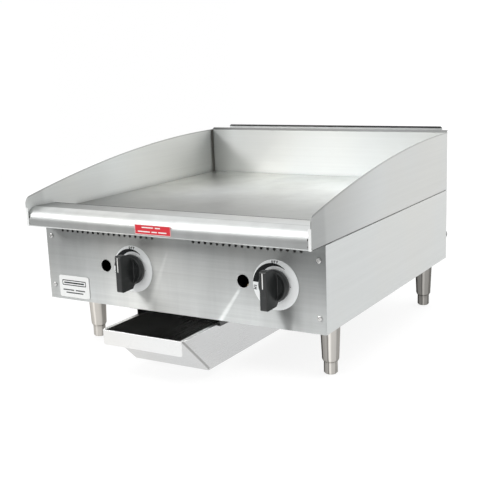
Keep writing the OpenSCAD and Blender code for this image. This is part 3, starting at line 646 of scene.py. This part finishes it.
def dress_nodes(materials):
    """Gives every CAD node its slot's material and soft edges."""
    slot_of = {row["node"]: row["material_slot"] for row in frame["record"]["subparts"]}
    for name, node in NODES.items():
        for i in range(len(node.data.materials)):
            node.data.materials[i] = materials[slot_of[name]]
        if name in KNOBS:
            mould_knob(node)
        else:
            ease_edges(node)


# ---- built pieces ----

# How far a print reaches into its surface and stands out of it
PRINT_SINK = 0.03 * MM
PRINT_THICK = 0.12 * MM


def add_piece(name, form, material, body="frame"):
    """Makes an object from a bmesh and hangs it on a CAD body."""
    bmesh.ops.recalc_face_normals(form, faces=form.faces)
    mesh = bpy.data.meshes.new(name)
    form.to_mesh(mesh)
    form.free()
    mesh.materials.append(material)
    piece = bpy.data.objects.new(name, mesh)
    bpy.context.scene.collection.objects.link(piece)
    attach(piece, body)
    return piece


def ring(form, points):
    """Corners of a face or of one end of a bridge."""
    return [form.verts.new(point) for point in points]


def bridge(form, first, second):
    """Joins two closed rings of equal length with quads."""
    for i in range(len(first)):
        j = (i + 1) % len(first)
        form.faces.new((first[i], first[j], second[j], second[i]))


def front_middle(node):
    """Middle of a CAD node's front face."""
    low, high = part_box(node)
    return Vector(((low.x + high.x) / 2, low.y, (low.z + high.z) / 2))


def flat_print(form, outline, origin, thickness=PRINT_THICK, hole=None):
    """Thin raised print that faces -y: outline and hole are lists of (x, z) about the origin."""
    def lay(points, depth):
        return ring(form, [(origin.x + x, origin.y + depth, origin.z + z) for x, z in points])
    outer_back, outer_front = lay(outline, PRINT_SINK), lay(outline, -thickness)
    bridge(form, outer_back, outer_front)
    if hole is None:
        form.faces.new(outer_back)
        form.faces.new(outer_front)
        return
    inner_back, inner_front = lay(hole, PRINT_SINK), lay(hole, -thickness)
    bridge(form, inner_back, inner_front)
    bridge(form, outer_back, inner_back)
    bridge(form, outer_front, inner_front)


def rounded_box(width, height, radius, x=0.0, z=0.0, steps=4):
    """Outline of a rectangle with round corners, about (x, z)."""
    points = []
    for corner, (sx, sz) in enumerate(((1, 1), (-1, 1), (-1, -1), (1, -1))):
        for i in range(steps + 1):
            angle = (corner + i / steps) * math.pi / 2
            points.append((x + sx * (width / 2 - radius) + radius * math.cos(angle),
                           z + sz * (height / 2 - radius) + radius * math.sin(angle)))
    return points


def polar(radius, degrees):
    """Point on a circle, counted from +x towards +z."""
    angle = math.radians(degrees)
    return radius * math.cos(angle), radius * math.sin(angle)


def ellipse(rx, rz, x, z, steps=24):
    """Outline of an ellipse about (x, z)."""
    return [(x + rx * math.cos(a), z + rz * math.sin(a))
            for a in (i * 2 * math.pi / steps for i in range(steps))]


# ---- dial prints ----

# Line width, height and width of the letters, and the space between two of them
STROKE = 1.05 * MM
LETTER_H = 4.9 * MM
LETTER_W = 3.5 * MM
LETTER_GAP = 1.5 * MM
# OFF: how far its foot is above the dial's middle, and the shift to the right that centres it
OFF_FOOT = 37.6 * MM
OFF_SHIFT = 0.7 * MM
# HI, turned on its side: its scale, x of its foot, and z where each letter starts
HI_SCALE = 1.3
HI_FOOT = -36.6 * MM
H_START = -11.5 * MM
I_START = -5.2 * MM
# Dot at the right of the knob: place and radius
DOT = (28.8 * MM, -1.2 * MM)
DOT_RADIUS = 0.8 * MM
# Heat scale: degrees at its tip and at its wide end
SCALE_TIP = 57.0
SCALE_END = 177.0
# Radius of its edges: at the tip, change up to the wide end, and the power that the change follows
SCALE_OUTER = (34.2 * MM, 10.0 * MM, 0.85)
SCALE_INNER = (33.7 * MM, -4.2 * MM, 1.5)


def letter_f():
    w, h, s = LETTER_W, LETTER_H, STROKE
    mid = 0.42 * h
    return [(0, 0), (s, 0), (s, mid), (0.8 * w, mid), (0.8 * w, mid + s), (s, mid + s), (s, h - s),
            (w, h - s), (w, h), (0, h)]


def letter_h():
    w, h, s = LETTER_W, LETTER_H, STROKE
    mid = (h - s) / 2
    return [(0, 0), (s, 0), (s, mid), (w - s, mid), (w - s, 0), (w, 0), (w, h), (w - s, h),
            (w - s, mid + s), (s, mid + s), (s, h), (0, h)]


def letter_i():
    return [(0, 0), (STROKE, 0), (STROKE, LETTER_H), (0, LETTER_H)]


def shifted(outline, dx, dz):
    return [(x + dx, z + dz) for x, z in outline]


def on_its_side(outline, scale):
    return [(-scale * z, scale * x) for x, z in outline]


def crescent(steps=30):
    """Heat scale: nothing at its upper right tip, widest at the left edge of the dial."""
    def edge(at_tip, change, power):
        return [polar(at_tip + change * t ** power, SCALE_TIP + (SCALE_END - SCALE_TIP) * t)
                for t in (i / steps for i in range(steps + 1))]
    return edge(*SCALE_OUTER) + edge(*SCALE_INNER)[::-1]


def print_dial(side, ink):
    """Black heat scale, the words for off and high, and a dot on one dial disc."""
    origin = front_middle(side + "_dial")
    form = bmesh.new()
    flat_print(form, crescent(), origin)
    step = LETTER_W + LETTER_GAP
    start = OFF_SHIFT - 1.5 * step
    centre = (start + LETTER_W / 2, OFF_FOOT + LETTER_H / 2)
    flat_print(form, ellipse(LETTER_W / 2, LETTER_H / 2, *centre), origin,
               hole=ellipse(LETTER_W / 2 - STROKE, LETTER_H / 2 - STROKE, *centre))
    for i in (1, 2):
        flat_print(form, shifted(letter_f(), start + i * step, OFF_FOOT), origin)
    for outline, along in ((letter_h(), H_START), (letter_i(), I_START)):
        flat_print(form, shifted(on_its_side(outline, HI_SCALE), HI_FOOT, along), origin)
    flat_print(form, ellipse(DOT_RADIUS, DOT_RADIUS, *DOT, 12), origin)
    add_piece(side + "_dial_print", form, ink)


# ---- badge and label ----

BAR_Z = 7.5 * MM
# In millimetres: (x, length, z) of the badge's lines, and (z, ((x, length), ...)) of the label's rows
BADGE_LINES = ((-15, 28, -7), (15, 24, -7), (0, 44, -12.5))
LABEL_ROWS = ((3.9, ((-11, 25), (11, 11))), (-3.6, ((-19, 27), (3.5, 12), (21, 18))))


def print_badge(dark, grey):
    """Generic art: an outlined bar over two rows of plain lines."""
    origin = front_middle("badge")
    form = bmesh.new()
    flat_print(form, rounded_box(60 * MM, 11 * MM, 2 * MM, 0, BAR_Z), origin,
               hole=rounded_box(57 * MM, 7.6 * MM, 1.2 * MM, 0, BAR_Z))
    flat_print(form, rounded_box(51 * MM, 2.8 * MM, 1 * MM, 0, BAR_Z), origin)
    add_piece("badge_bar", form, dark)
    form = bmesh.new()
    for x, length, z in BADGE_LINES:
        flat_print(form, rounded_box(length * MM, 2.4 * MM, 1.1 * MM, x * MM, z * MM), origin)
    add_piece("badge_lines", form, grey)


def print_label(white):
    """Generic art: a thin border and two rows of plain blocks."""
    origin = front_middle("front_label")
    low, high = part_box("front_label")
    width, height = high.x - low.x, high.z - low.z
    form = bmesh.new()
    flat_print(form, rounded_box(width - 0.8 * MM, height - 0.8 * MM, 1.3 * MM), origin,
               hole=rounded_box(width - 2 * MM, height - 2 * MM, 0.8 * MM))
    for z, blocks in LABEL_ROWS:
        for x, length in blocks:
            flat_print(form, rounded_box(length * MM, 2.0 * MM, 0.6 * MM, x * MM, z * MM), origin)
    add_piece("label_blocks", form, white)


# ---- welds, seams and hems, with painted shade and a painted highlight ----

# Bottom and top of the small welds over the bullnose's foot
NOSE_WELDS = ((5 * MM, 8 * MM), (17 * MM, 20 * MM))
# Drawer: thickness of its lips, outside of its walls, and how far its front slopes back
LIP_THICK = 1.5 * MM
WALL_X = 81.5 * MM
SLOPE_RUN = 84 * MM
# Seams down the edges of that slope
SEAM_WIDTH = 4.5 * MM
SEAM_THICK = 0.35 * MM


def bead(form, path, radius, ripple, sides=8):
    """Closed round bead along a list of points; ripple makes it lumpy like a weld."""
    rings = []
    for i, point in enumerate(path):
        ahead = path[min(i + 1, len(path) - 1)] - path[max(i - 1, 0)]
        first = ahead.orthogonal().normalized()
        second = ahead.cross(first).normalized()
        r = radius * (1 + ripple * math.sin(2.3 * i))
        rings.append(ring(form, [point + r * (math.cos(a) * first + math.sin(a) * second)
                                 for a in (k * 2 * math.pi / sides for k in range(sides))]))
    for one, two in zip(rings, rings[1:]):
        bridge(form, one, two)
    form.faces.new(rings[0])
    form.faces.new(rings[-1])


def straight(start, end, step):
    """Points along a line, about a step apart."""
    start, end = Vector(start), Vector(end)
    count = max(2, round((end - start).length / step))
    return [start.lerp(end, i / count) for i in range(count + 1)]


def add_beads(name, runs, material, body="frame", step=20 * MM, radius=1 * MM, ripple=0.0):
    """One piece made of beads that run straight from start to end."""
    form = bmesh.new()
    for start, end in runs:
        bead(form, straight(start, end, step), radius, ripple)
    for face in add_piece(name, form, material, body).data.polygons:
        face.use_smooth = True


def weld_splashes(tint):
    """Weld beads up the two rear corners, where side and rear splashes meet, made dark and wide as
    painted shade in those corners.
    """
    plate_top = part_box("griddle_plate")[1].z
    low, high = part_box("rear_splash")
    y = low.y - 0.9 * MM
    for side, name in SIDES:
        x = side * (high.x - 1.0 * MM)
        run = ((x, y, plate_top), (x, y, high.z - 6 * MM))
        add_beads(name + "_corner_weld_shade", [run], tint, step=0.9 * MM,
                  radius=2.1 * MM, ripple=0.12)


def cap_nose(steel, tint):
    """Folded strips that close the bullnose's two ends, coloured near white as a painted highlight,
    with two small welds beside each.
    """
    low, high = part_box("bullnose")
    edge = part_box("right_splash")[1].x
    strip = rounded_box(5.2 * MM, high.z - low.z, 1.2 * MM)
    y = low.y + 0.5 * MM
    for side, name in SIDES:
        form = bmesh.new()
        origin = Vector((side * (edge - 2.7 * MM), low.y - 0.05 * MM, (low.z + high.z) / 2))
        flat_print(form, strip, origin, thickness=0.35 * MM)
        add_piece(name + "_nose_strip", form, steel)
        x = side * (edge - 7 * MM)
        runs = [((x, y, low.z + bottom), (x, y, low.z + top)) for bottom, top in NOSE_WELDS]
        add_beads(name + "_nose_weld", runs, tint, step=0.8 * MM, radius=0.8 * MM,
                  ripple=0.2)


def shade_shelf_gap(tint):
    """Painted shade: a black bead along the gap behind the shelf's rear edge."""
    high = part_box("bullnose")[1]
    y, z, half = high.y + 0.2 * MM, high.z - 2.1 * MM, high.x - 2 * MM
    add_beads("shelf_edge_shade", [((-half, y, z), (half, y, z))], tint,
              step=100 * MM, radius=0.7 * MM)


def trim_drawer(seam, hem):
    """Hems along the drawer's side lips, and seams down the edges of its sloped front."""
    low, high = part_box("grease_drawer")
    y, z = low.y + 6 * MM, high.z - LIP_THICK / 2
    for side, name in SIDES:
        x = side * (high.x - 0.2 * MM)
        add_beads(name + "_lip_hem", [((x, y, z), (x, high.y - 1 * MM, z))], hem,
                  "drawer", radius=0.85 * MM)
        form = bmesh.new()
        top = Vector((side * WALL_X, y, high.z - 4 * MM))
        bottom = Vector((side * WALL_X, low.y + SLOPE_RUN, low.z + 1.5 * MM))
        along = (bottom - top).normalized()
        back = Vector((0, -along.z, along.y)) * SEAM_WIDTH
        inset = 0.2 * back
        out = Vector((side * SEAM_THICK, 0, 0))
        inner = ring(form, [top, bottom, bottom + back, top + back])
        outer = ring(form, [top + inset + out, bottom + inset + out, bottom + back - inset + out,
                            top + back - inset + out])
        bridge(form, inner, outer)
        form.faces.new(inner)
        form.faces.new(outer)
        add_piece(name + "_drawer_seam", form, seam, "drawer")


# ---- stage ----

# Reflected studio light: its least level, and what is added from each side, as (start of the rise,
# end of the rise, light at its start, light at its end)
LEAST_LIGHT = 0.26
ABOVE = (0.30, 0.75, 0.0, 0.45)
BEHIND = (-0.2, 0.6, 0.0, 0.55)
LEFT = (-0.2, -0.9, 0.0, 0.25)
BEHIND_RIGHT = (0.3, 0.9, 0.0, 0.5)
# Floor: half its width, where it ends in front, how much that edge slants, and its glow
FLOOR_HALF = 2.4
FLOOR_FRONT = -1.15
FLOOR_SLANT = 0.35
FLOOR_Z = -0.5 * MM
FLOOR_GLOW = 0.84
# Area lights: place, aim, size and watts
LIGHTS = {
    "top_box": ((0.1, -1.0, 1.5), (0, -0.1, 0.25), (1.8, 0.8), 15),
    "key_box": ((-1.45, -1.75, 1.35), (0, -0.3, 0.2), (0.9, 0.6), 13)}


def make_world():
    """White for the camera. In reflections: bright above and behind, darker in front."""
    world = bpy.data.worlds.new("studio")
    bpy.context.scene.world = world
    world.use_nodes = True
    tree = Tree(world.node_tree)
    x, y, z = tree.split(tree.add("ShaderNodeTexCoord").outputs["Generated"])
    behind_right = tree.math("MULTIPLY_ADD", x, 0.5, tree.product(y, 0.84))
    light = LEAST_LIGHT
    for part, rise in ((z, ABOVE), (y, BEHIND), (x, LEFT), (behind_right, BEHIND_RIGHT)):
        light = tree.math("ADD", light, tree.ramp(part, *rise))
    rays = tree.add("ShaderNodeLightPath").outputs["Is Camera Ray"]
    light = tree.math("MAXIMUM", light, rays)
    background = tree.add("ShaderNodeBackground", {"Color": rgba(WHITE), "Strength": light})
    tree.add("ShaderNodeOutputWorld", {"Surface": background.outputs[0]})


def make_floor():
    """Pale floor that glows like a light table. It ends in front, where reflections get darker."""
    half, lean = FLOOR_HALF, FLOOR_SLANT * FLOOR_HALF
    corners = ((-half, FLOOR_FRONT + lean), (half, FLOOR_FRONT - lean), (half, half), (-half, half))
    mesh = bpy.data.meshes.new("floor")
    mesh.from_pydata([(x, y, FLOOR_Z) for x, y in corners], [], [(0, 1, 2, 3)])
    floor = bpy.data.objects.new("floor", mesh)
    material, tree = new_material("floor_white")
    cloud = tree.noise(tree.place(), scale=3.0)
    tone = tree.mix(cloud, rgba(WHITE, 0.20), rgba(WHITE, 0.22))
    shader = tree.add("ShaderNodeBsdfPrincipled", {
        "Base Color": tone, "Roughness": 0.9, "Specular IOR Level": 0.1,
        "Emission Color": rgba(WHITE), "Emission Strength": FLOOR_GLOW})
    finish_material(tree, shader)
    mesh.materials.append(material)
    bpy.context.scene.collection.objects.link(floor)


def make_lights():
    for name, (place, aim, size, watts) in LIGHTS.items():
        data = bpy.data.lights.new(name, "AREA")
        data.shape = "RECTANGLE"
        data.size, data.size_y = size
        data.energy = watts
        light = bpy.data.objects.new(name, data)
        light.location = place
        towards = Vector(aim) - Vector(place)
        light.rotation_euler = towards.to_track_quat("-Z", "Y").to_euler()
        bpy.context.scene.collection.objects.link(light)


make_camera()
make_world()
make_floor()
make_lights()
materials = make_materials()
dress_nodes(materials)
for _, side in SIDES:
    print_dial(side, materials["ink_and_shade_black"])
print_badge(materials["ink_and_shade_black"], materials["ink_grey"])
print_label(materials["pointer_white"])
weld_splashes(materials["weld_and_shade_dark"])
cap_nose(materials["painted_highlight_strip"], materials["weld_and_shade_dark"])
shade_shelf_gap(materials["ink_and_shade_black"])
trim_drawer(materials["seam_steel"], materials["drawer_steel"])

bpy.context.scene.view_settings.view_transform = "Standard"
